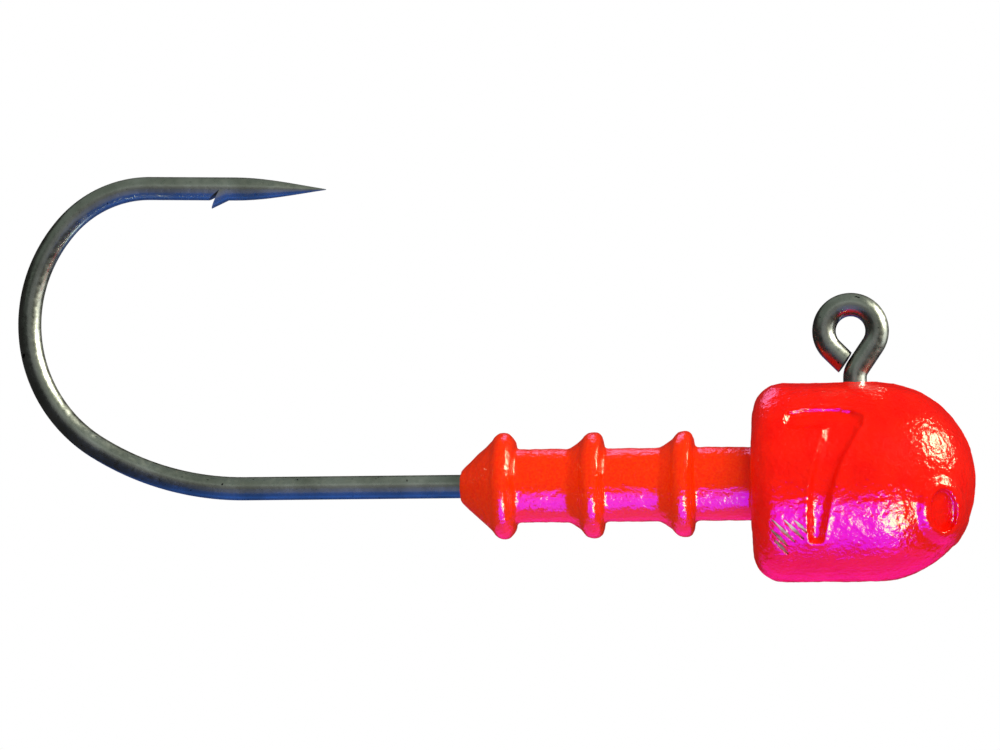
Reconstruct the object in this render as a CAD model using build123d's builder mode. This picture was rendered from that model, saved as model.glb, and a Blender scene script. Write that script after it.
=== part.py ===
from build123d import *
import math
import os

# A 7 g jig head for soft baits: one bent hook, a lead head with a ribbed bait keeper cast over
# the hook's shank, and a coat of lacquer over the lead.
# Frame, in millimetres: the origin is on the shank's axis where it leaves the head's flat back
# face, +X runs forward to the nose, +Z points to the line eye and to the side of the hook's point.

# Hook wire
WIRE_RADIUS = 0.525
STEM_X = 4.52  # the eye's stem stands this far forward of the back face
STEM_BEND = 1.5  # the wire turns up inside the head on this radius
KINK_BEND = 0.8  # the stem leans over into the loop on this radius

# Line eye, a closed loop in the plane of the hook
LOOP_X = 4.34
LOOP_Z = 6.78
LOOP_RADIUS = 1.18
LIMB_ANGLE = -34.0  # where the leaning stem meets the loop, in degrees round the loop
TAIL_ANGLE = 225.0  # where the loop straightens into its free end
TAIL_LENGTH = 1.2
TAIL_GAP = 0.08  # between the free end and the stem

# Bend: three arcs that tighten towards the point, as (radius, degrees turned)
BEND_START_X = -22.85
BEND_ARCS = [(12.76, 32.3), (6.70, 99.15), (4.92, 49.85)]
SPEAR_LENGTH = 3.91

# Point and barb
POINT_LENGTH = 4.15
POINT_TIP_RADIUS = 0.02
BARB_ROOT_X = -23.70
BARB_LENGTH = 0.77  # from root to tip, along the hook
BARB_LIFT = 0.36  # how far the tip stands off the wire
NOTCH_LENGTH = 0.60  # from the deepest cut back to the wire's skin
NOTCH_DEPTH = 0.43
NOTCH_SETBACK = 0.35  # from the barb's root back to the deepest cut

# Head and keeper, sizes over the lacquer
HEAD_RADIUS = 4.40
HEAD_LENGTH = 9.80
HEAD_BACK_FILLET = 1.30
NOSE_START_X = HEAD_LENGTH - HEAD_RADIUS  # the nose is half a ball
TUBE_RADIUS = 1.64
CONE_TIP_X = -13.10
CONE_TIP_RADIUS = 0.67
RIM_RADIUS = 2.34
RIB_RADIUS = 2.29
RIB_CREST_WIDTH = 0.28
RIB_SHOULDER_DROP = 0.27  # the front of each rib steps down here before it falls to the tube
RIB_SHOULDER_RUN = 0.24
RIB_FALL_RUN = 0.10
RIB_ROUNDING = 0.12
FOOT_ROUNDING = 0.09
# Each rib as (where its ramp starts, where its crest starts, crest radius)
RIBS = [(-8.20, -7.28, RIB_RADIUS), (-4.10, -3.23, RIB_RADIUS)]
CONE_CREST_X = -11.25

# Lacquer, and what is sunk into or raised from the head
LACQUER = 0.07
NUMERAL_DEPTH = 0.25
NUMERAL_LEFT, NUMERAL_RIGHT = 1.54, 4.98
NUMERAL_TOP, NUMERAL_BAR_BOTTOM, NUMERAL_FOOT = 2.97, 2.02, -2.96
NUMERAL_CROWN = 0.14  # the bar's top edge bows up by this much
NUMERAL_STEM_FOOT = (2.60, 3.16)  # left and right edges of the stem at its foot
NUMERAL_STEM_MIDDLE = (2.68, 3.69)  # the same at the middle of the stem
NUMERAL_STEM_TOP = (3.30, 4.68)  # the same where it leaves the bar
EYE_X, EYE_Z = 8.42, -1.55
EYE_OUTER = (0.94, 1.20)  # half width and half height of the raised ring
EYE_INNER = (0.52, 0.84)
EYE_HEIGHT = 0.13
EYE_SINK = 0.08  # the disc inside the ring lies this far under the head's surface
RELIEF_REACH = 6.0  # reliefs are cut from the middle plane out to beyond the head


def along(angle, distance, x=0.0, z=0.0):
    """The point at this distance and angle from (x, z)."""
    return (x + distance * math.cos(math.radians(angle)), z + distance * math.sin(math.radians(angle)))


def keeper_outline():
    """The corners of the keeper's half outline, from the cone's tip to the head's back face."""
    corners = [(CONE_TIP_X, 0.0), (CONE_TIP_X, CONE_TIP_RADIUS)]
    ramps = [(None, CONE_CREST_X, RIM_RADIUS)] + RIBS
    for ramp_start, crest, radius in ramps:
        if ramp_start is not None:
            corners.append((ramp_start, TUBE_RADIUS))
        shoulder = crest + RIB_CREST_WIDTH + RIB_SHOULDER_RUN
        corners.append((crest, radius))
        corners.append((crest + RIB_CREST_WIDTH, radius))
        corners.append((shoulder, radius - RIB_SHOULDER_DROP))
        corners.append((shoulder + RIB_FALL_RUN, TUBE_RADIUS))
    corners.append((0.0, TUBE_RADIUS))
    return corners


def revolved_body(inset):
    """Head and keeper as one turned shape, everywhere `inset` inside the lacquered surface."""
    with BuildPart() as body:
        with BuildSketch(Plane.XZ) as section:
            with BuildLine():
                lower = keeper_outline() + [(0.0, HEAD_RADIUS), (NOSE_START_X, HEAD_RADIUS)]
                Polyline(*lower)
                CenterArc((NOSE_START_X, 0.0), HEAD_RADIUS, 0, 90)
                Line((HEAD_LENGTH, 0.0), (CONE_TIP_X, 0.0))
            make_face()
            above_tube = TUBE_RADIUS + 0.1
            crests = section.vertices().filter_by(lambda v: v.X < -1 and v.Y > above_tube)
            fillet(crests, radius=RIB_ROUNDING)
            feet = section.vertices().filter_by(lambda v: v.X < -1 and abs(v.Y - TUBE_RADIUS) < 0.001)
            fillet(feet, radius=FOOT_ROUNDING)
            back_edge = section.vertices().filter_by(lambda v: abs(v.X) < 0.001 and v.Y > above_tube)
            fillet(back_edge, radius=HEAD_BACK_FILLET)
            mirror(about=Plane.XZ)
            if inset != 0:
                offset(amount=-inset, kind=Kind.INTERSECTION)
            with Locations((0, HEAD_RADIUS)):
                Rectangle(8 * HEAD_LENGTH, 2 * HEAD_RADIUS, mode=Mode.INTERSECT)
        revolve(axis=Axis.X)
    return body.part


def numeral_prism(inset):
    """A straight prism in the shape of the figure 7, widened by `inset` on every side."""
    stem_middle_z = (NUMERAL_BAR_BOTTOM + NUMERAL_FOOT) / 2
    bar_middle_z = (NUMERAL_TOP + NUMERAL_BAR_BOTTOM) / 2
    bar_half = (NUMERAL_TOP - NUMERAL_BAR_BOTTOM) / 2
    with BuildPart() as prism:
        with BuildSketch(Plane.XZ):
            with BuildLine():
                end_x = NUMERAL_LEFT + bar_half
                corner = (NUMERAL_RIGHT, bar_middle_z - bar_half / 2)
                shoulder = (NUMERAL_RIGHT - bar_half / 2, NUMERAL_TOP - NUMERAL_CROWN)
                middle_x = (end_x + shoulder[0]) / 2
                ThreePointArc(
                    (end_x, NUMERAL_BAR_BOTTOM),
                    (NUMERAL_LEFT, bar_middle_z),
                    (end_x, NUMERAL_TOP - NUMERAL_CROWN),
                )
                ThreePointArc((end_x, NUMERAL_TOP - NUMERAL_CROWN), (middle_x, NUMERAL_TOP), shoulder)
                Line(shoulder, corner)
                Line(corner, (NUMERAL_STEM_TOP[1], NUMERAL_BAR_BOTTOM))
                ThreePointArc(
                    (NUMERAL_STEM_TOP[1], NUMERAL_BAR_BOTTOM),
                    (NUMERAL_STEM_MIDDLE[1], stem_middle_z),
                    (NUMERAL_STEM_FOOT[1], NUMERAL_FOOT),
                )
                Line((NUMERAL_STEM_FOOT[1], NUMERAL_FOOT), (NUMERAL_STEM_FOOT[0], NUMERAL_FOOT))
                ThreePointArc(
                    (NUMERAL_STEM_FOOT[0], NUMERAL_FOOT),
                    (NUMERAL_STEM_MIDDLE[0], stem_middle_z),
                    (NUMERAL_STEM_TOP[0], NUMERAL_BAR_BOTTOM),
                )
                Line((NUMERAL_STEM_TOP[0], NUMERAL_BAR_BOTTOM), (end_x, NUMERAL_BAR_BOTTOM))
            make_face()
            if inset != 0:
                offset(amount=inset)
        extrude(amount=RELIEF_REACH)
    return prism.part


def eye_prism(half_sizes, grow):
    """A straight oval prism through both sides of the nose, grown by `grow` all round."""
    with BuildPart() as prism:
        with BuildSketch(Plane.XZ):
            with Locations((EYE_X, EYE_Z)):
                Ellipse(half_sizes[0] + grow, half_sizes[1] + grow)
        extrude(amount=RELIEF_REACH, both=True)
    return prism.part


def cast_shape(inset):
    """The whole cast shape with its numeral and eye rings, `inset` inside the lacquered surface."""
    ring_top = revolved_body(inset - EYE_HEIGHT)
    ring_floor = revolved_body(inset + EYE_SINK)
    groove_floor = revolved_body(inset + NUMERAL_DEPTH)
    ring_outside = eye_prism(EYE_OUTER, -inset)
    ring_inside = eye_prism(EYE_INNER, inset)
    with BuildPart() as shape:
        add(revolved_body(inset))
        add(ring_outside & ring_top)
        add(ring_inside - ring_floor, mode=Mode.SUBTRACT)
        add(numeral_prism(inset) - groove_floor, mode=Mode.SUBTRACT)
    return shape.part


# The hook's wire, from the loop round the bend to the start of the point
limb_start = along(LIMB_ANGLE, LOOP_RADIUS, LOOP_X, LOOP_Z)
tail_start = along(TAIL_ANGLE, LOOP_RADIUS, LOOP_X, LOOP_Z)
limb_lean = LIMB_ANGLE + 90  # the leaning stem's direction, in degrees from +X
kink_z = limb_start[1] - (limb_start[0] - STEM_X) * math.tan(math.radians(limb_lean))

with BuildLine(Plane.XZ) as wire_path:
    CenterArc((LOOP_X, LOOP_Z), LOOP_RADIUS, TAIL_ANGLE, LIMB_ANGLE - TAIL_ANGLE)
    run = FilletPolyline(
        limb_start, (STEM_X, kink_z), (STEM_X, 0), (BEND_START_X, 0), radius=[KINK_BEND, STEM_BEND]
    )
    for bend_radius, bend_angle in BEND_ARCS:
        run = JernArc(run @ 1, run % 1, bend_radius, -bend_angle)
    spear = Line(run @ 1, run @ 1 + (run % 1) * SPEAR_LENGTH)

loop_plane = Plane(
    origin=(tail_start[0], 0, tail_start[1]),
    z_dir=Vector(*along(TAIL_ANGLE + 90, 1)).X * Vector(1, 0, 0)
    + Vector(*along(TAIL_ANGLE + 90, 1)).Y * Vector(0, 0, 1),
)
limb_normal = Vector(math.cos(math.radians(limb_lean + 90)), 0, math.sin(math.radians(limb_lean + 90)))
tail_cut = Plane(
    origin=Vector(limb_start[0], 0, limb_start[1]) + limb_normal * (WIRE_RADIUS + TAIL_GAP),
    z_dir=limb_normal,
)
point_plane = Plane(origin=spear @ 1, z_dir=spear % 1)
point_taper = math.degrees(math.atan((WIRE_RADIUS - POINT_TIP_RADIUS) / POINT_LENGTH))

# The barb is a sliver of the wire's own skin, cut from behind and bent down about its root
spear_start = spear @ 0
spear_slope = (spear % 1).Z / (spear % 1).X
root = Vector(
    BARB_ROOT_X, 0, spear_start.Z + (BARB_ROOT_X - spear_start.X) * spear_slope - WIRE_RADIUS
)
barb_tip = root + Vector(-BARB_LENGTH, 0, -BARB_LIFT)
cut_end = root + Vector(-NOTCH_SETBACK, 0, NOTCH_DEPTH)
cut_start = cut_end + Vector(-NOTCH_LENGTH, 0, -NOTCH_DEPTH)
barb_direction = (root - barb_tip).normalized()
barb_axis_start = barb_tip - barb_direction + Vector(-barb_direction.Z, 0, barb_direction.X) * WIRE_RADIUS

with BuildPart() as barb_skin:
    with BuildSketch(Plane(origin=barb_axis_start, z_dir=barb_direction)):
        Circle(WIRE_RADIUS)
    extrude(amount=1 + BARB_LENGTH / barb_direction.X)

with BuildPart() as barb:
    with BuildSketch(Plane.XZ):
        with BuildLine():
            Polyline(
                (cut_end.X, cut_end.Z),
                (barb_tip.X, barb_tip.Z),
                (root.X, root.Z),
                (root.X, cut_end.Z),
                close=True,
            )
        make_face()
    extrude(amount=WIRE_RADIUS, both=True)
    add(barb_skin.part, mode=Mode.INTERSECT)

with BuildPart() as notch:
    with BuildSketch(Plane.XZ):
        with BuildLine():
            Polyline(
                (cut_start.X, cut_start.Z),
                (cut_end.X, cut_end.Z),
                (barb_tip.X, barb_tip.Z),
                (cut_start.X, barb_tip.Z),
                close=True,
            )
        make_face()
    extrude(amount=WIRE_RADIUS, both=True)

with BuildPart() as hook:
    with BuildSketch(loop_plane):
        Circle(WIRE_RADIUS)
    extrude(amount=TAIL_LENGTH)
    split(bisect_by=tail_cut, keep=Keep.TOP)
    with BuildSketch(Plane(origin=wire_path.wire() @ 0, z_dir=wire_path.wire() % 0)):
        Circle(WIRE_RADIUS)
    sweep(path=wire_path.wire())
    with BuildSketch(point_plane):
        Circle(WIRE_RADIUS)
    extrude(amount=POINT_LENGTH, taper=point_taper)
    add(notch.part, mode=Mode.SUBTRACT)
    add(barb.part)

finished_surface = cast_shape(0)
lead_surface = cast_shape(LACQUER)

with BuildPart() as lead_casting:
    add(lead_surface)
    add(hook.part, mode=Mode.SUBTRACT)

with BuildPart() as lacquer_coat:
    add(finished_surface)
    add(lead_surface, mode=Mode.SUBTRACT)
    add(hook.part, mode=Mode.SUBTRACT)

os.makedirs("parts", exist_ok=True)
hook.part.label = "hook"
export_step(hook.part, "parts/hook.step")
lead_casting.part.label = "lead_casting"
export_step(lead_casting.part, "parts/lead_casting.step")
lacquer_coat.part.label = "lacquer_coat"
export_step(lacquer_coat.part, "parts/lacquer_coat.step")

print("wire length", round(wire_path.wire().length, 2), "mm")
for piece in (hook, lead_casting, lacquer_coat):
    box = piece.part.bounding_box()
    print(piece.part.label, round(piece.part.volume, 2), "mm3", box.size)
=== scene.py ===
# %% [markdown]
# # A lacquered jig head
# This lesson dresses a small fishing lure head: one bent steel hook, a lead head with a ribbed
# bait keeper cast round the hook, and a thick coat of glossy red lacquer. The sizes come from a
# CAD model that is loaded first, and every piece made here stays where that model says.

# %% Load the CAD model
import math

import bpy
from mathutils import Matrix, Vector


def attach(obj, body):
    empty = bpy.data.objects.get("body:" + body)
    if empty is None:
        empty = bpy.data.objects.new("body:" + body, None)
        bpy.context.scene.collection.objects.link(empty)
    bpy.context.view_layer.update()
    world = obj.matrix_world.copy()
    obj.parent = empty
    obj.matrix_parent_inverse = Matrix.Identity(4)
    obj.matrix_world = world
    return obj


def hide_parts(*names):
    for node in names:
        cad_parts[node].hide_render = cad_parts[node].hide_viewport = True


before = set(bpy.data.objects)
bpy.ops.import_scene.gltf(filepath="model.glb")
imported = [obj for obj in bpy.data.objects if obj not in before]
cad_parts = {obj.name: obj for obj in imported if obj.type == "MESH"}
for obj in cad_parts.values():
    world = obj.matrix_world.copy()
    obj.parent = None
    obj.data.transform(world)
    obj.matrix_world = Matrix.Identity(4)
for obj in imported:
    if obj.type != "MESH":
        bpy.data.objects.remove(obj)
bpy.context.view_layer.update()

# %% [markdown]
# ## A bench in millimetres
# The whole object is shorter than a thumb, and Blender's modelling tools round very small
# distances. So each piece is modelled at one unit to the millimetre and shrunk to real size
# when it is finished. These helpers are the few hand movements that repeat: put everything
# down, pick up one piece, and turn modifiers into plain mesh.

# %% Bench helpers
MM = 0.001


def put_down():
    """Leave edit mode and select nothing."""
    if bpy.context.object and bpy.context.object.mode != "OBJECT":
        bpy.ops.object.mode_set(mode="OBJECT")
    bpy.ops.object.select_all(action="DESELECT")


def pick_up(piece):
    put_down()
    piece.select_set(True)
    bpy.context.view_layer.objects.active = piece


def edit(piece, select="SELECT"):
    pick_up(piece)
    bpy.ops.object.mode_set(mode="EDIT")
    bpy.ops.mesh.select_all(action=select)


def throw_away(piece):
    bpy.data.objects.remove(piece, do_unlink=True)


def modify(piece, kind, **settings):
    """Add one modifier, set it up, and apply it."""
    pick_up(piece)
    modifier = piece.modifiers.new(kind.title(), kind)
    for setting, value in settings.items():
        setattr(modifier, setting, value)
    bpy.ops.object.modifier_apply(modifier=modifier.name)


def carve(piece, tool, operation="DIFFERENCE"):
    modify(piece, "BOOLEAN", operation=operation, solver="EXACT", object=tool)


def to_real_size(piece):
    pick_up(piece)
    bpy.ops.transform.resize(value=(MM, MM, MM), center_override=(0, 0, 0))
    bpy.ops.object.transform_apply(location=True, rotation=True, scale=True)
    print(piece.name, "faces", len(piece.data.polygons))


# %% [markdown]
# ## The cast shape, turned ring by ring
# The head and its keeper are round about the hook's shank, so one ring of points is extruded
# along the shank and resized at each station, as on a lathe. A stack of rings is quicker to
# change than a spun profile: each station is a plain pair of place and radius.

# %% Sizes of the head and keeper, in millimetres
HEAD_RADIUS = 4.40
HEAD_LENGTH = 9.80
BACK_ROUNDING = 1.30
TUBE_RADIUS = 1.64
# The keeper's cone and one rib, as (x, radius) from the tail towards the head
CONE = [
    (-13.10, 0.69), (-12.66, 1.10), (-11.76, 1.93), (-11.62, 2.05), (-11.54, 2.19), (-11.39, 2.32),
    (-11.25, 2.38), (-11.11, 2.39), (-10.97, 2.37), (-10.84, 2.27), (-10.72, 2.12), (-10.65, 2.00),
    (-10.62, TUBE_RADIUS)]
RIB = [
    (-0.95, TUBE_RADIUS), (-0.62, 1.84), (-0.44, 1.97), (-0.35, 2.04), (-0.27, 2.19), (-0.12, 2.32),
    (0.02, 2.36), (0.20, 2.38), (0.36, 2.34), (0.48, 2.25), (0.56, 2.07), (0.61, TUBE_RADIUS)]
RIB_CRESTS = [-7.28, -3.23]
RING_POINTS = 128


def nose_stations(radius, tip_x, steps=28):
    """The round nose, from its widest ring to the tip."""
    centre_x = tip_x - radius
    angles = [math.pi / 2 * step / steps for step in range(steps)]
    rings = [(centre_x + radius * math.sin(a), radius * math.cos(a)) for a in angles]
    return rings + [(tip_x, 0.01)]


def back_stations(radius, rounding, inset=0.0, steps=8):
    """The head's flat back and its rounded rim."""
    angles = [math.pi / 2 * step / steps for step in range(steps + 1)]
    small = rounding - inset
    centre_r = radius - rounding
    return [(rounding - small * math.cos(a), centre_r + small * math.sin(a)) for a in angles]


def turned(name, stations):
    """A solid turned about the x axis, from (x, radius) stations."""
    put_down()
    x, radius = stations[0]
    bpy.ops.mesh.primitive_circle_add(
        vertices=RING_POINTS, radius=radius, fill_type="NGON",
        location=(x, 0, 0), rotation=(0, math.pi / 2, 0))
    piece = bpy.context.object
    piece.name = name
    bpy.ops.object.transform_apply(location=True, rotation=True, scale=True)
    edit(piece)
    for next_x, next_radius in stations[1:]:
        bpy.ops.mesh.extrude_region_move(TRANSFORM_OT_translate={"value": (next_x - x, 0, 0)})
        grow = next_radius / radius
        bpy.ops.transform.resize(value=(1, grow, grow), center_override=(next_x, 0, 0))
        x, radius = next_x, next_radius
    bpy.ops.mesh.select_all(action="SELECT")
    bpy.ops.mesh.normals_make_consistent(inside=False)
    put_down()
    return piece


def head_core(depth, name):
    """The head alone, `depth` under its lacquered surface, to stop a cutter at that depth."""
    stations = [(0.02 + depth, 0.5)] + back_stations(HEAD_RADIUS, BACK_ROUNDING, inset=depth)
    return turned(name, stations + nose_stations(HEAD_RADIUS - depth, HEAD_LENGTH - depth))


# %% Turn the cast shape
keeper = list(CONE)
for crest in RIB_CRESTS:
    keeper += [(crest + x, radius) for x, radius in RIB]
stations = keeper + [(0.0, TUBE_RADIUS)] + back_stations(HEAD_RADIUS, BACK_ROUNDING)
lacquer = turned("red_lacquer_coat", stations + nose_stations(HEAD_RADIUS, HEAD_LENGTH))
print("turned shape", [round(size, 2) for size in lacquer.dimensions])

# %% [markdown]
# ## The sunk weight figure
# The casting carries its weight in grams as a groove shaped like a 7. A groove cut with a
# straight stamp would be deeper at the middle of a round head than at its sides, so the stamp
# is first hollowed by a slightly smaller head. Then it cuts to an even depth. Two stamps, a wide
# shallow one and a narrow deep one, leave the sloping walls of a cast groove.

# %% The stamp for the figure
STAMP_REACH = 6.0
# The figure's two strokes, as (x, z, direction in degrees, half width)
BAR = [
    (1.54, 2.40, 0, 0.30), (1.72, 2.42, 0, 0.42), (3.10, 2.50, -1, 0.47), (4.35, 2.42, -3, 0.44),
    (4.92, 2.33, -5, 0.27)]
STEM = [
    (4.12, 2.48, -116, 0.74), (3.99, 1.95, -112, 0.66), (3.50, 0.70, -105, 0.54),
    (3.15, -0.60, -99, 0.49), (2.98, -1.70, -95, 0.42), (2.88, -2.75, -93, 0.30),
    (2.87, -2.96, -93, 0.24)]


def drawn_out(stations, grow):
    """The same stroke, wider and longer at both ends by `grow`."""
    wider = [[x, z, direction, half_width + grow] for x, z, direction, half_width in stations]
    for end, way in ((wider[0], -grow), (wider[-1], grow)):
        end[0] += way * math.cos(math.radians(end[2]))
        end[1] += way * math.sin(math.radians(end[2]))
    return wider


def stroke(name, stations, grow):
    """A stamp that follows a stroke and reaches out of the near side of the head."""
    (x, z, direction, half_width), *others = drawn_out(stations, grow)
    put_down()
    bpy.ops.mesh.primitive_plane_add(size=1, location=(0, 0, 0), rotation=(0, math.pi / 2, 0))
    piece = bpy.context.object
    piece.name = name
    bpy.ops.object.transform_apply(location=True, rotation=True, scale=True)
    edit(piece)
    bpy.ops.transform.resize(value=(1, STAMP_REACH, 2 * half_width), center_override=(0, 0, 0))
    bpy.ops.transform.rotate(
        value=math.radians(direction), orient_axis="Y", center_override=(0, 0, 0))
    bpy.ops.transform.translate(value=(x, -STAMP_REACH / 2, z))
    for next_x, next_z, next_direction, next_width in others:
        bpy.ops.mesh.extrude_region_move(
            TRANSFORM_OT_translate={"value": (next_x - x, 0, next_z - z)})
        centre = (next_x, -STAMP_REACH / 2, next_z)
        bpy.ops.transform.rotate(
            value=math.radians(next_direction - direction), orient_axis="Y", center_override=centre)
        grown = next_width / half_width
        bpy.ops.transform.resize(value=(grown, 1, grown), center_override=centre)
        x, z, direction, half_width = next_x, next_z, next_direction, next_width
    bpy.ops.mesh.select_all(action="SELECT")
    bpy.ops.mesh.normals_make_consistent(inside=False)
    put_down()
    return piece


def sink(body, stamp, depth):
    """Cut a stamp into a body down to one depth under the head's surface."""
    core = head_core(depth, "core")
    carve(stamp, core)
    carve(body, stamp)
    throw_away(core)
    throw_away(stamp)


def raise_pad(body, stamp, rise):
    """Add the part of a stamp that stands this far out of the head."""
    bigger_head = head_core(-rise, "bigger_head")
    carve(stamp, bigger_head, "INTERSECT")
    carve(body, stamp, "UNION")
    throw_away(bigger_head)
    throw_away(stamp)


# %% Raise the figure's lip and cut the figure
LIP_WIDTH, LIP_RISE = 0.12, 0.055
GROOVE_CUTS = [(0.03, 0.12), (-0.10, 0.23)]  # how much wider than the figure, and how deep
for stations in (BAR, STEM):
    raise_pad(lacquer, stroke("lip", stations, LIP_WIDTH), LIP_RISE)
for grow, depth in GROOVE_CUTS:
    for stations in (BAR, STEM):
        sink(lacquer, stroke("stamp", stations, grow), depth)
print("figure cut, faces", len(lacquer.data.polygons))

# %% [markdown]
# ## The trace of the mould
# The two halves of the mould leave a thin ridge all round the head. A bigger head sliced to a
# thin plate and added to the casting gives it.

# %% Parting ridge
RIDGE_PLACE, RIDGE_WIDTH, RIDGE_RISE = -0.52, 0.13, 0.045
ridge = head_core(-RIDGE_RISE, "ridge")
for side in (-1, 1):
    edge_y = RIDGE_PLACE + side * RIDGE_WIDTH / 2
    edit(ridge)
    bpy.ops.mesh.bisect(
        plane_co=(0, edge_y, 0), plane_no=(0, side, 0), clear_outer=True, use_fill=True)
    put_down()
carve(lacquer, ridge, "UNION")
throw_away(ridge)
print("ridge added, faces", len(lacquer.data.polygons))

# %% [markdown]
# ## The eye rings
# A raised oval ring on each side of the nose stands for the bait's eye. Its outer slope is long
# and its inner wall is steep. It is stacked from thin ovals that get smaller as they rise, each
# trimmed by a head that is a little bigger, and the hollow is sunk last. The rebuild of the
# surface later melts the steps into a slope.

# %% Raise the eye rings
EYE_X, EYE_Z = 8.42, -1.55
# Ovals as (half width, half height, rise), and the hollow as (half width, half height, depth)
EYE_TERRACES = [(1.08, 1.34, 0.08), (1.00, 1.26, 0.13), (0.92, 1.18, 0.18), (0.82, 1.09, 0.22)]
EYE_HOLLOW = (0.55, 0.87, 0.10)


def oval_stamp(half_width, half_height):
    """An oval bar right through the head, so that both eyes are made at once."""
    place = (EYE_X, 0, EYE_Z)
    put_down()
    bpy.ops.mesh.primitive_cylinder_add(
        vertices=64, radius=1, depth=2 * STAMP_REACH, location=place, rotation=(math.pi / 2, 0, 0))
    stamp = bpy.context.object
    bpy.ops.object.transform_apply(location=True, rotation=True, scale=True)
    edit(stamp)
    bpy.ops.transform.resize(value=(half_width, 1, half_height), center_override=place)
    put_down()
    return stamp


for half_width, half_height, rise in EYE_TERRACES:
    raise_pad(lacquer, oval_stamp(half_width, half_height), rise)
sink(lacquer, oval_stamp(EYE_HOLLOW[0], EYE_HOLLOW[1]), EYE_HOLLOW[2])
print("eye rings raised, faces", len(lacquer.data.polygons))

# %% [markdown]
# ## One even skin
# Lacquer has no sharp edges: it flows into corners and off ridges. A voxel remesh rebuilds the
# cut shape as one even grid, a smooth pass rounds what was sharp, and two soft noise
# displacements give the slow waves of a dipped coat and the finer orange peel.

# %% Rebuild and soften the skin
VOXEL = 0.092
WAVES = [("slow_waves", 1.3, 0.06), ("orange_peel", 0.30, 0.035)]  # (name, size, height)
modify(lacquer, "REMESH", mode="VOXEL", voxel_size=VOXEL, adaptivity=0.0)
modify(lacquer, "SMOOTH", factor=0.5, iterations=4)
for name, size, strength in WAVES:
    texture = bpy.data.textures.new(name, "CLOUDS")
    texture.noise_scale = size
    texture.noise_depth = 1
    modify(
        lacquer, "DISPLACE", texture=texture, texture_coords="LOCAL", strength=strength, mid_level=0.5)
print("skin", len(lacquer.data.polygons), "faces")

# %% [markdown]
# ## Scratches
# Behind the figure the finished coat was scraped, which left a few short slanting scratches down
# to the lead. Each is a narrow stroke, trimmed to a small depth and cut after the skin is
# rebuilt, because the rebuild would fill anything this thin.

# %% Cut the scratches
# Each scratch as (x, z, length) from its upper end, all leaning the same way
SCRATCHES = [
    (0.90, -2.38, 1.00), (0.96, -1.98, 1.35), (1.50, -2.00, 1.15), (1.02, -2.80, 0.85),
    (1.95, -2.02, 0.75)]
SCRATCH_LEAN = -44
SCRATCH_DEPTH = 0.11
SCRATCH_WIDTHS = [(0.0, 0.030), (0.5, 0.080), (1.0, 0.025)]  # (part of the length, half width)
run_x, run_z = math.cos(math.radians(SCRATCH_LEAN)), math.sin(math.radians(SCRATCH_LEAN))
for x, z, length in SCRATCHES:
    stations = [
        (x + run_x * length * part, z + run_z * length * part, SCRATCH_LEAN, half_width)
        for part, half_width in SCRATCH_WIDTHS]
    sink(lacquer, stroke("scratch", stations, 0.0), SCRATCH_DEPTH)
print("scratches cut, faces", len(lacquer.data.polygons))

# %% [markdown]
# ## Hollow the skin
# The coat is only a skin. What it covers, the lead and the wire, is turned once more as a core
# one coat thickness smaller, with the same figure and hollows sunk a little wider and deeper,
# and taken out of the skin. Where a scratch goes through the coat, the bare lead shows.

# %% Take the lead and the wire out of the skin
COAT = 0.07
WIRE_RADIUS = 0.525
STEM_X = 4.52
CONE_CREST = -11.11
GROOVE_MARGIN, GROOVE_UNDER = 0.12, 0.35  # the figure in the core: how much wider, how deep


def one_coat_under(rings, crest_x):
    """Rings one coat further in; the steep sides of a rib also move in towards its crest."""
    inner = []
    for x, radius in rings:
        if x > crest_x + 0.3:
            x -= COAT
        elif x < crest_x - 0.2:
            x += COAT / 2
        inner.append((x, radius - COAT))
    return inner


under_keeper = [(-14.0, WIRE_RADIUS), (-13.02, WIRE_RADIUS), (-13.00, 0.64)]
under_keeper += one_coat_under(CONE[1:], CONE_CREST)
for crest in RIB_CRESTS:
    under_keeper += one_coat_under([(crest + x, radius) for x, radius in RIB], crest)
under_head = back_stations(HEAD_RADIUS, BACK_ROUNDING, inset=COAT)
under_nose = nose_stations(HEAD_RADIUS - COAT, HEAD_LENGTH - COAT)
under_tube = [(COAT, TUBE_RADIUS - COAT)]
lead_core = turned("lead_core", under_keeper + under_tube + under_head + under_nose)
for stations in (BAR, STEM):
    sink(lead_core, stroke("stamp", stations, GROOVE_MARGIN), GROOVE_UNDER)
eye_width, eye_height, eye_depth = (size + COAT for size in EYE_HOLLOW)
sink(lead_core, oval_stamp(eye_width, eye_height), eye_depth)
put_down()
bpy.ops.mesh.primitive_cylinder_add(
    vertices=48, radius=WIRE_RADIUS, depth=6, location=(STEM_X, 0, 4))
stem_hole = bpy.context.object
for core in (lead_core, stem_hole):
    carve(lacquer, core)
    throw_away(core)
pick_up(lacquer)
bpy.ops.object.shade_smooth()
to_real_size(lacquer)

# %% [markdown]
# ## The hook
# A hook starts as straight round wire that is bent in one plane. The wire is one ring of points
# extruded along the straights and spun round the bends, from the shank both ways, which keeps
# every section round. The bends are three arcs that tighten towards the point.

# %% Sizes of the wire, in millimetres
WIRE_POINTS = 48
STEM_BEND = 1.5
KINK_BEND = 0.8
LOOP_X, LOOP_Z, LOOP_RADIUS = 4.34, 6.78, 1.18
LIMB_ANGLE, TAIL_ANGLE = -34.0, 225.0
TAIL_LENGTH, TAIL_RINGS = 1.2, 3
TAIL_GAP = 0.08
BEND_START_X = -22.85
BEND_ARCS = [(12.76, 32.3), (6.70, 99.15), (4.92, 49.85)]
SPEAR_LENGTH = 3.91
POINT_LENGTH = 4.15


def towards(heading, distance):
    """A step in the hook's plane; heading 0 is +x and 90 is +z."""
    return Vector((math.cos(math.radians(heading)), 0, math.sin(math.radians(heading)))) * distance


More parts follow.
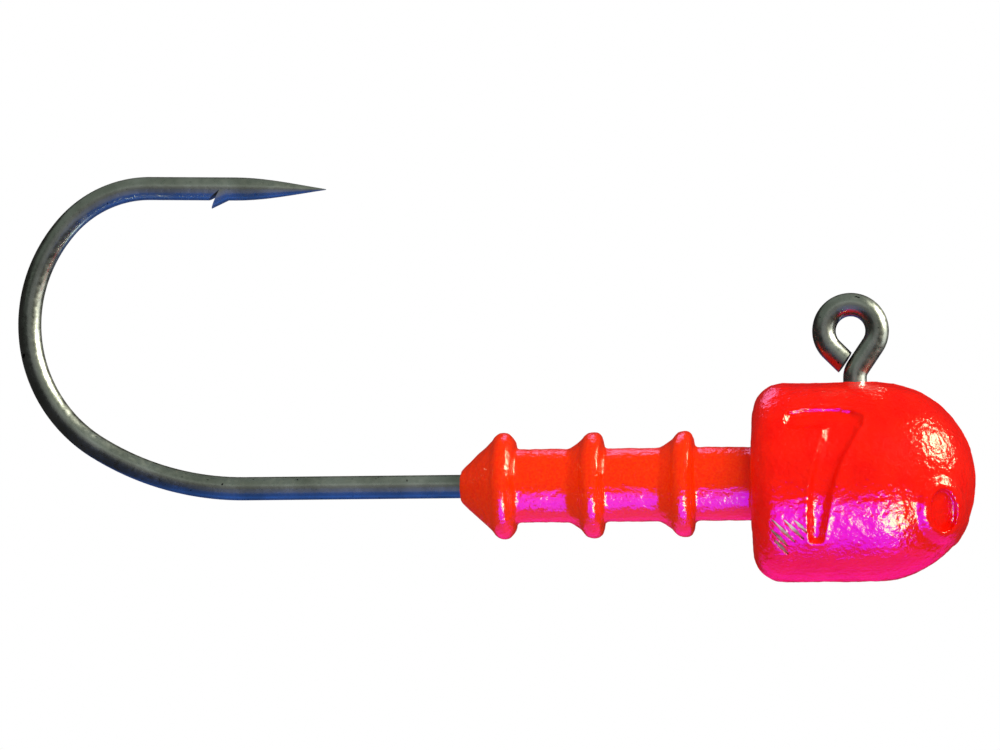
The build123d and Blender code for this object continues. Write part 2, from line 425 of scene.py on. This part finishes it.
class Wire:
    """A wire that grows from its selected end ring."""

    def __init__(self, name, start, heading):
        put_down()
        bpy.ops.mesh.primitive_circle_add(
            vertices=WIRE_POINTS, radius=WIRE_RADIUS, location=start, rotation=(0, math.pi / 2, 0))
        self.piece = bpy.context.object
        self.piece.name = name
        bpy.ops.object.transform_apply(location=True, rotation=True, scale=True)
        self.end = Vector(start)
        self.heading = heading
        edit(self.piece)

    def straight(self, length, steps=1):
        """Draw the wire out along its heading."""
        for _ in range(steps):
            step = towards(self.heading, length / steps)
            bpy.ops.mesh.extrude_region_move(TRANSFORM_OT_translate={"value": step})
            self.end = self.end + step

    def bend(self, radius, turn, steps):
        """Turn left in the XZ plane by `turn` degrees, or right where it is negative."""
        side = 90 if turn > 0 else -90
        centre = self.end + towards(self.heading + side, radius)
        bpy.ops.mesh.spin(steps=steps, angle=math.radians(turn), center=centre, axis=(0, 1, 0))
        self.heading = self.heading + turn
        self.end = centre - towards(self.heading + side, radius)

    def taper(self, length, scales):
        """Draw the wire out to these parts of its thickness, in even steps."""
        for scale_before, scale in zip(scales, scales[1:]):
            step = towards(self.heading, length / (len(scales) - 1))
            bpy.ops.mesh.extrude_region_move(TRANSFORM_OT_translate={"value": step})
            self.end = self.end + step
            grow = scale / scale_before
            bpy.ops.transform.resize(value=(grow, grow, grow), center_override=self.end)

    def finish(self):
        """Close the end ring with a face."""
        bpy.ops.mesh.edge_face_add()
        put_down()
        return self.piece


# %% [markdown]
# The wire is bent from a ring in the middle of the shank. Backwards it runs through the three arcs
# of the bend to the ground point. Forwards it turns up inside the head, leans over, and rolls
# round into the line eye.

# %% Bend the wire
POINT_TAPER = [1.0, 0.985, 0.94, 0.87, 0.78, 0.67, 0.55, 0.42, 0.29, 0.16, 0.035]
WIRE_START_X = -6.0
BEND_STEP = 1.6  # degrees of bend to each ring
limb_start = Vector((LOOP_X, 0, LOOP_Z)) + towards(LIMB_ANGLE, LOOP_RADIUS)
limb_lean = LIMB_ANGLE + 90
kink_z = limb_start.z - (limb_start.x - STEM_X) * math.tan(math.radians(limb_lean))
kink_run = KINK_BEND * math.tan(math.radians((90 - limb_lean) / 2))
kink_end = Vector((STEM_X, 0, kink_z)) + towards(limb_lean, kink_run)

back_wire = Wire("hook_wire", (WIRE_START_X, 0, 0), 180)
back_wire.straight(WIRE_START_X - BEND_START_X, 30)
for radius, turn in BEND_ARCS:
    back_wire.bend(radius, -turn, round(turn / BEND_STEP))
spear_start, spear_heading = back_wire.end.copy(), back_wire.heading
back_wire.straight(SPEAR_LENGTH, 8)
back_wire.taper(POINT_LENGTH, POINT_TAPER)
point_end = back_wire.end.copy()
hook = back_wire.finish()
print("point at", [round(value, 3) for value in point_end], "spear heading", spear_heading)

front_wire = Wire("hook_front", (WIRE_START_X, 0, 0), 0)
front_wire.straight(STEM_X - STEM_BEND - WIRE_START_X, 6)
front_wire.bend(STEM_BEND, 90, 20)
front_wire.straight(kink_z - kink_run - STEM_BEND, 6)
front_wire.bend(KINK_BEND, limb_lean - 90, 10)
front_wire.straight((limb_start - kink_end).length, 2)
front_wire.bend(LOOP_RADIUS, TAIL_ANGLE - LIMB_ANGLE, 72)
front_wire.straight(TAIL_LENGTH, TAIL_RINGS)
loop_end = front_wire.end.copy()
front = front_wire.finish()
print("loop wire ends at", [round(value, 3) for value in loop_end])

# %% [markdown]
# The loop's free end was sheared off close beside the stem, so it is bisected by a plane that
# runs along the leaning stem with a hair's gap. Then the two halves of the wire are joined at
# the ring they share and become one piece.

# %% Trim the loop and join the wire
away_from_limb = towards(limb_lean + 90, 1)
edit(front)
bpy.ops.mesh.select_all(action="DESELECT")
bpy.ops.object.mode_set(mode="OBJECT")
tail_points = (TAIL_RINGS + 1) * WIRE_POINTS
for vertex in front.data.vertices[-tail_points:]:
    vertex.select = True
for edge in front.data.edges:
    edge.select = all(front.data.vertices[corner].select for corner in edge.vertices)
for face in front.data.polygons:
    face.select = all(front.data.vertices[corner].select for corner in face.vertices)
bpy.ops.object.mode_set(mode="EDIT")
shear_place = limb_start + away_from_limb * (WIRE_RADIUS + TAIL_GAP)
bpy.ops.mesh.bisect(
    plane_co=shear_place, plane_no=away_from_limb, clear_inner=True, use_fill=True)
put_down()
hook.select_set(True)
front.select_set(True)
bpy.context.view_layer.objects.active = hook
bpy.ops.object.join()
edit(hook)
bpy.ops.mesh.remove_doubles(threshold=0.002)
bpy.ops.mesh.normals_make_consistent(inside=False)
put_down()
print("wire joined, faces", len(hook.data.polygons))

# %% [markdown]
# ## The barb
# A barb is cut, not added: a chisel lifts a sliver of the wire's inner side and leaves a notch
# behind it. The notch is a block bisected by the chisel's two faces and taken from the wire. The
# sliver is a short length of the same wire, tilted about its root and trimmed by the same planes.

# %% Cut the notch and lift the barb
BARB_ROOT_X = -23.70
BARB_LENGTH, BARB_LIFT = 0.77, 0.36
NOTCH_LENGTH, NOTCH_DEPTH, NOTCH_SETBACK = 0.60, 0.43, 0.35

spear_slope = math.tan(math.radians(spear_heading))
root_z = spear_start.z + (BARB_ROOT_X - spear_start.x) * spear_slope - WIRE_RADIUS
barb_root = Vector((BARB_ROOT_X, 0, root_z))
barb_tip = barb_root + Vector((-BARB_LENGTH, 0, -BARB_LIFT))
cut_end = barb_root + Vector((-NOTCH_SETBACK, 0, NOTCH_DEPTH))
cut_start = cut_end + Vector((-NOTCH_LENGTH, 0, -NOTCH_DEPTH))


def keep_right_of(start, end, piece):
    """Trim a piece by the plane through two points; what is right of the way to `end` stays."""
    way = (end - start).normalized()
    edit(piece)
    bpy.ops.mesh.bisect(
        plane_co=start, plane_no=(-way.z, 0, way.x), clear_outer=True, use_fill=True)
    put_down()


put_down()
bpy.ops.mesh.primitive_cube_add(size=2.4, location=cut_end)
notch = bpy.context.object
bpy.ops.object.transform_apply(location=True, rotation=True, scale=True)
keep_right_of(cut_start, cut_end, notch)
keep_right_of(cut_end, barb_tip, notch)

barb_way = (barb_root - barb_tip).normalized()
barb_axis = barb_tip + Vector((-barb_way.z, 0, barb_way.x)) * WIRE_RADIUS
put_down()
bpy.ops.mesh.primitive_cylinder_add(
    vertices=WIRE_POINTS, radius=WIRE_RADIUS, depth=4, location=barb_axis,
    rotation=(0, math.pi / 2 - math.atan2(barb_way.z, barb_way.x), 0))
barb = bpy.context.object
bpy.ops.object.transform_apply(location=True, rotation=True, scale=True)
keep_right_of(barb_tip, cut_end, barb)
keep_right_of(cut_end, cut_end + Vector((1, 0, 0)), barb)
barb_back = barb_root + Vector((0.05, 0, 0))
keep_right_of(barb_back + Vector((0, 0, 1)), barb_back, barb)

carve(hook, notch)
carve(hook, barb, "UNION")
throw_away(notch)
throw_away(barb)
edit(hook)
bpy.ops.mesh.remove_doubles(threshold=0.002)
bpy.ops.mesh.normals_make_consistent(inside=False)
put_down()
to_real_size(hook)
pick_up(hook)
bpy.ops.object.shade_smooth_by_angle(angle=math.radians(32))

# %% [markdown]
# ## Finishes
# A small node group measures its noise in millimetres, so the same cloudy mask can be used on
# the steel, the lead and the lacquer at its real size. Low and High set how much of the surface
# the mask covers and how hard its edges are.

# %% Shared noise in millimetres


def noise_group(name, detail):
    group = bpy.data.node_groups.new(name, "ShaderNodeTree")
    for socket in ("Size mm", "Low", "High"):
        group.interface.new_socket(socket, in_out="INPUT", socket_type="NodeSocketFloat")
    group.interface.new_socket("Mask", in_out="OUTPUT", socket_type="NodeSocketFloat")
    nodes, links = group.nodes, group.links
    inputs = nodes.new("NodeGroupInput")
    outputs = nodes.new("NodeGroupOutput")
    place = nodes.new("ShaderNodeTexCoord")
    mapping = nodes.new("ShaderNodeMapping")
    mapping.inputs["Scale"].default_value = (1 / MM, 1 / MM, 1 / MM)
    per_mm = nodes.new("ShaderNodeMath")
    per_mm.operation = "DIVIDE"
    per_mm.inputs[0].default_value = 1.0
    noise = nodes.new("ShaderNodeTexNoise")
    noise.inputs["Detail"].default_value = detail
    spread = nodes.new("ShaderNodeMapRange")
    links.new(place.outputs["Object"], mapping.inputs["Vector"])
    links.new(mapping.outputs["Vector"], noise.inputs["Vector"])
    links.new(inputs.outputs["Size mm"], per_mm.inputs[1])
    links.new(per_mm.outputs["Value"], noise.inputs["Scale"])
    links.new(noise.outputs["Fac"], spread.inputs["Value"])
    links.new(inputs.outputs["Low"], spread.inputs["From Min"])
    links.new(inputs.outputs["High"], spread.inputs["From Max"])
    links.new(spread.outputs["Result"], outputs.inputs["Mask"])
    return group


cloudy = noise_group("cloudy_mm", 3.0)
print("shared group", cloudy.name)

# %% [markdown]
# The helpers below add the nodes that every finish here uses: a mask from the group, a blend of
# two colours, a rescaled value for roughness, and a bump whose depth is given in millimetres.

# %% Material helpers
def new_material(name):
    material = bpy.data.materials.new(name)
    material.use_nodes = True
    shader = material.node_tree.nodes["Principled BSDF"]
    return material, material.node_tree.nodes, material.node_tree.links, shader


def mask(nodes, size, low, high):
    node = nodes.new("ShaderNodeGroup")
    node.node_tree = cloudy
    node.inputs["Size mm"].default_value = size
    node.inputs["Low"].default_value = low
    node.inputs["High"].default_value = high
    return node.outputs["Mask"]


def blend_colours(nodes, links, factor, first, second):
    node = nodes.new("ShaderNodeMix")
    node.data_type = "RGBA"
    links.new(factor, node.inputs["Factor"])
    sockets = [entry for entry in node.inputs if entry.type == "RGBA"]
    for socket, colour in zip(sockets, (first, second)):
        if isinstance(colour, tuple):
            socket.default_value = (*colour, 1)
        else:
            links.new(colour, socket)
    return [entry for entry in node.outputs if entry.type == "RGBA"][0]


def rescale(nodes, links, value, low, high):
    node = nodes.new("ShaderNodeMapRange")
    node.inputs["To Min"].default_value = low
    node.inputs["To Max"].default_value = high
    links.new(value, node.inputs["Value"])
    return node.outputs["Result"]


def bump(nodes, links, height, depth_mm):
    node = nodes.new("ShaderNodeBump")
    node.inputs["Distance"].default_value = depth_mm * MM
    links.new(height, node.inputs["Height"])
    return node.outputs["Normal"]


# %% [markdown]
# ## Red lacquer
# A thick candy lacquer: a saturated red that turns more orange on the thin keeper, under a hard
# clear gloss whose orange peel breaks every highlight into small cells. The Principled shader's
# coat is the gloss. The peel is used by no other finish, so its noise stands in the material and
# can bend both the red under the gloss and the gloss itself. The coat is weaker at the edges,
# which keeps the rim of a round shape as red as the real one.

# %% Red lacquer
PEEL_SIZE, PEEL_DEPTH = 0.22, 0.045
red_lacquer, nodes, links, shader = new_material("red_lacquer")
patches = mask(nodes, 1.1, 0.35, 0.65)
flecks = mask(nodes, 0.10, 0.3, 0.7)
thin = blend_colours(nodes, links, patches, (0.88, 0.003, 0.001), (1.0, 0.012, 0.001))
on_head = blend_colours(nodes, links, flecks, thin, (0.92, 0.006, 0.001))
place = nodes.new("ShaderNodeTexCoord")
split = nodes.new("ShaderNodeSeparateXYZ")
links.new(place.outputs["Object"], split.inputs["Vector"])
towards_keeper = nodes.new("ShaderNodeMapRange")
towards_keeper.inputs["From Min"].default_value = 0.2 * MM
towards_keeper.inputs["From Max"].default_value = -0.6 * MM
links.new(split.outputs["X"], towards_keeper.inputs["Value"])
thin_coat = blend_colours(nodes, links, flecks, (1.0, 0.045, 0.001), (0.95, 0.018, 0.001))
red = blend_colours(nodes, links, towards_keeper.outputs["Result"], on_head, thin_coat)
links.new(red, shader.inputs["Base Color"])
links.new(rescale(nodes, links, flecks, 0.25, 0.40), shader.inputs["Roughness"])
peel_mapping = nodes.new("ShaderNodeMapping")
peel_mapping.inputs["Scale"].default_value = (1 / MM, 1 / MM, 1 / MM)
peel = nodes.new("ShaderNodeTexNoise")
peel.inputs["Scale"].default_value = 1 / PEEL_SIZE
peel.inputs["Detail"].default_value = 3.0
links.new(place.outputs["Object"], peel_mapping.inputs["Vector"])
links.new(peel_mapping.outputs["Vector"], peel.inputs["Vector"])
peel_normal = bump(nodes, links, peel.outputs["Fac"], PEEL_DEPTH)
links.new(peel_normal, shader.inputs["Normal"])
links.new(peel_normal, shader.inputs["Coat Normal"])
facing = nodes.new("ShaderNodeLayerWeight")
facing.inputs["Blend"].default_value = 0.25
links.new(rescale(nodes, links, facing.outputs["Facing"], 1.0, 0.15), shader.inputs["Coat Weight"])
shader.inputs["IOR"].default_value = 1.45
shader.inputs["Specular IOR Level"].default_value = 0.05
shader.inputs["Coat IOR"].default_value = 1.6
shader.inputs["Coat Roughness"].default_value = 0.09
lacquer.data.materials.clear()
lacquer.data.materials.append(red_lacquer)
print("red lacquer has", len(nodes), "nodes")

# %% [markdown]
# ## Hook steel
# Blackened carbon steel: dark, a little brown and olive, with duller spots and a few dark pits.

# %% Hook steel
hook_steel, nodes, links, shader = new_material("hook_steel")
stain = mask(nodes, 1.6, 0.35, 0.65)
steel_colour = blend_colours(nodes, links, stain, (0.36, 0.37, 0.31), (0.55, 0.56, 0.50))
pits = mask(nodes, 0.26, 0.69, 0.73)
pitted = blend_colours(nodes, links, pits, steel_colour, (0.03, 0.03, 0.03))
links.new(pitted, shader.inputs["Base Color"])
dull = mask(nodes, 0.25, 0.3, 0.7)
links.new(rescale(nodes, links, dull, 0.24, 0.38), shader.inputs["Roughness"])
links.new(bump(nodes, links, dull, 0.004), shader.inputs["Normal"])
shader.inputs["Metallic"].default_value = 1.0
hook.data.materials.clear()
hook.data.materials.append(hook_steel)
print("hook steel has", len(nodes), "nodes")

# %% [markdown]
# ## Cast lead
# The lead lies under the lacquer and shows only in the scratches. It keeps its CAD shape and gets
# a dull, blotchy grey.

# %% Cast lead
lead_alloy, nodes, links, shader = new_material("lead_alloy")
oxide = mask(nodes, 0.9, 0.35, 0.65)
lead_colour = blend_colours(nodes, links, oxide, (0.42, 0.43, 0.45), (0.66, 0.67, 0.69))
links.new(lead_colour, shader.inputs["Base Color"])
links.new(rescale(nodes, links, oxide, 0.30, 0.50), shader.inputs["Roughness"])
links.new(bump(nodes, links, oxide, 0.02), shader.inputs["Normal"])
shader.inputs["Metallic"].default_value = 1.0
lead_node = bpy.data.objects["lead_casting"]
for slot in lead_node.material_slots:
    slot.material = lead_alloy
print("cast lead has", len(nodes), "nodes")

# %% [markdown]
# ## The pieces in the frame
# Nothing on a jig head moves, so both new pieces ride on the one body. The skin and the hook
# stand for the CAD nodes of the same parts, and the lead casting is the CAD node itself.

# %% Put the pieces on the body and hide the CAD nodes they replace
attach(lacquer, "root")
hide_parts("lacquer_coat")
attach(hook, "root")
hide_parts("hook")

# %% [markdown]
# ## Light
# The lure hangs over white paper among coloured things, and its gloss and its wire mirror them.
# Soft area lamps stand for those surroundings. A broad panel in front lights the red evenly and
# isn't mirrored. Two round lamps give the cream highlights on the nose. Light linking lets the
# lacquer mirror a violet table and the wire a blue one, as each does from where it hangs.

# %% Lamp helpers
AIM = Vector((-0.004, 0, 0.002))


def lamp(name, direction, distance, size, watts, colour):
    """A round soft lamp that is turned towards the lure."""
    put_down()
    place = AIM + Vector(direction).normalized() * distance
    bpy.ops.object.light_add(type="AREA", location=place)
    light = bpy.context.object
    light.name = name
    light.data.shape = "DISK"
    light.data.size = size
    light.data.energy = watts
    light.data.color = colour
    light.visible_camera = False
    light.visible_diffuse = False
    light.rotation_euler = (AIM - place).to_track_quat("-Z", "Y").to_euler()
    return light


def panel(name, direction, distance, size, strength, colour):
    """A square lamp whose face has this brightness, however large it is."""
    light = lamp(name, direction, distance, size, strength * size * size * math.pi, colour)
    light.data.shape = "SQUARE"
    return light


def shines_on(lamps, piece):
    """Let these lamps reach one piece only."""
    only = bpy.data.collections.new(piece.name + "_only")
    only.objects.link(piece)
    for light in lamps:
        light.light_linking.receiver_collection = only


# %% Lamps and panels
front_fill = panel("front_fill", (0.55, -0.75, 0.60), 0.30, 0.25, 3.9, (1.0, 0.96, 0.92))
front_fill.visible_diffuse = True
front_fill.visible_glossy = False
shines_on([
    lamp("nose_lamp", (0.85, 0.01, 0.525), 0.30, 0.13, 0.95, (0.5, 1.0, 0.62)),
    lamp("cool_lamp", (0.40, -0.58, -0.73), 0.16, 0.074, 0.32, (0.3, 1.0, 0.08)),
    panel("violet_table", (0.1, -0.50, -0.86), 0.12, 0.130, 12.0, (0.14, 0.0, 1.0)),
    panel("pink_table", (0.0, 0.60, -0.80), 0.12, 0.16, 2.0, (1.0, 0.0, 0.58)),
    panel("collar_card", (-0.16, 0.56, 0.81), 0.024, 0.0095, 2.8, (1.0, 0.45, 1.0)),
], lacquer)
shines_on([
    lamp("warm_lamp", (0.84, -0.125, 0.525), 0.30, 0.036, 2.6, (1.0, 1.0, 0.86)),
    panel("blue_table", (0.0, -0.13, -0.99), 0.13, 0.17, 0.42, (0.03, 0.20, 1.0)),
    panel("blue_table_behind", (0.0, 0.66, -0.75), 0.13, 0.20, 0.32, (0.03, 0.20, 1.0)),
    panel("violet_grey_table", (0.0, -0.85, -0.53), 0.20, 0.15, 0.36, (0.50, 0.58, 1.0)),
    panel("bend_card", (0.58, 0.42, -0.69), 0.12, 0.035, 2.2, (0.75, 0.92, 1.0)),
    panel("grey_room_top", (-0.1, -0.35, 0.95), 0.12, 0.30, 0.22, (0.82, 1.0, 0.92)),
    panel("grey_room_front", (0.0, -1.0, 0.20), 0.25, 0.20, 0.20, (0.92, 0.96, 1.0)),
    panel("grey_room_right", (1.0, 0.1, 0.1), 0.20, 0.16, 1.3, (0.95, 1.0, 1.0)),
], hook)
shines_on([
    panel("white_room_front", (0.0, -1.0, -0.25), 0.20, 0.30, 3.0, (1.0, 0.95, 1.0)),
], lead_node)

# %% [markdown]
# The world has three brightnesses of the same white. The camera sees plain white, matt surfaces
# are lit by a softer white, and mirrored rays see almost none, because a white room mirrored all
# round would wash out the red.

# %% World
ROOM_BRIGHTNESS = {"mirrored": 0.03, "lighting": 0.62, "seen": 1.0}
world = bpy.data.worlds.new("white_room")
bpy.context.scene.world = world
world.use_nodes = True
sky, sky_links = world.node_tree.nodes, world.node_tree.links
path = sky.new("ShaderNodeLightPath")
rooms = {}
for name, brightness in ROOM_BRIGHTNESS.items():
    room = sky["Background"] if name == "mirrored" else sky.new("ShaderNodeBackground")
    room.inputs["Color"].default_value = (1, 1, 1, 1)
    room.inputs["Strength"].default_value = brightness
    rooms[name] = room.outputs["Background"]
by_diffuse = sky.new("ShaderNodeMixShader")
by_camera = sky.new("ShaderNodeMixShader")
sky_links.new(path.outputs["Is Diffuse Ray"], by_diffuse.inputs["Fac"])
sky_links.new(rooms["mirrored"], by_diffuse.inputs[1])
sky_links.new(rooms["lighting"], by_diffuse.inputs[2])
sky_links.new(path.outputs["Is Camera Ray"], by_camera.inputs["Fac"])
sky_links.new(by_diffuse.outputs["Shader"], by_camera.inputs[1])
sky_links.new(rooms["seen"], by_camera.inputs[2])
sky_links.new(by_camera.outputs["Shader"], sky["World Output"].inputs["Surface"])

# %% [markdown]
# ## Floor
# A plain sheet of pale paper lies under the lure, with a faint cloudiness of fibres. It isn't
# mirrored, for the same reason as the room.

# %% Floor
put_down()
bpy.ops.mesh.primitive_plane_add(size=3.0, location=(0, 0, -0.15))
floor = bpy.context.object
floor.name = "floor"
floor.visible_glossy = False
paper, nodes, links, shader = new_material("pale_floor")
fibres = mask(nodes, 4.0, 0.3, 0.7)
paper_colour = blend_colours(nodes, links, fibres, (0.86, 0.86, 0.86), (0.89, 0.89, 0.89))
links.new(paper_colour, shader.inputs["Base Color"])
shader.inputs["Roughness"].default_value = 0.9
floor.data.materials.append(paper)
print("floor at", round(floor.location.z, 3))

# %% [markdown]
# ## Camera
# The camera stands about twenty centimetres away, a little under the lure and a little to its
# right, with a long lens. The lens is worked out from the width that the frame shows there.

# %% Camera
AZIMUTH, ELEVATION = math.radians(6), math.radians(-7)
DISTANCE = 0.2124
FRAME_WIDTH = 0.0448
SENSOR_WIDTH = 36
level = math.cos(ELEVATION)
view_ahead = Vector((-math.sin(AZIMUTH) * level, math.cos(AZIMUTH) * level, -math.sin(ELEVATION)))
view_right = Vector((math.cos(AZIMUTH), math.sin(AZIMUTH), 0))
view_up = view_right.cross(view_ahead)
aim = Vector((-0.01137, 0, 0.00455)) + view_right * 0.0000224 + view_up * 0.00045
put_down()
bpy.ops.object.camera_add(
    location=aim - view_ahead * DISTANCE, rotation=(math.pi / 2 - ELEVATION, 0, AZIMUTH))
camera = bpy.context.object
camera.data.sensor_width = SENSOR_WIDTH
camera.data.lens = SENSOR_WIDTH * DISTANCE / FRAME_WIDTH
camera.data.clip_start = 0.01
bpy.context.scene.camera = camera
bpy.context.scene.view_settings.view_transform = "Standard"
print("camera lens", round(camera.data.lens, 1), "mm")
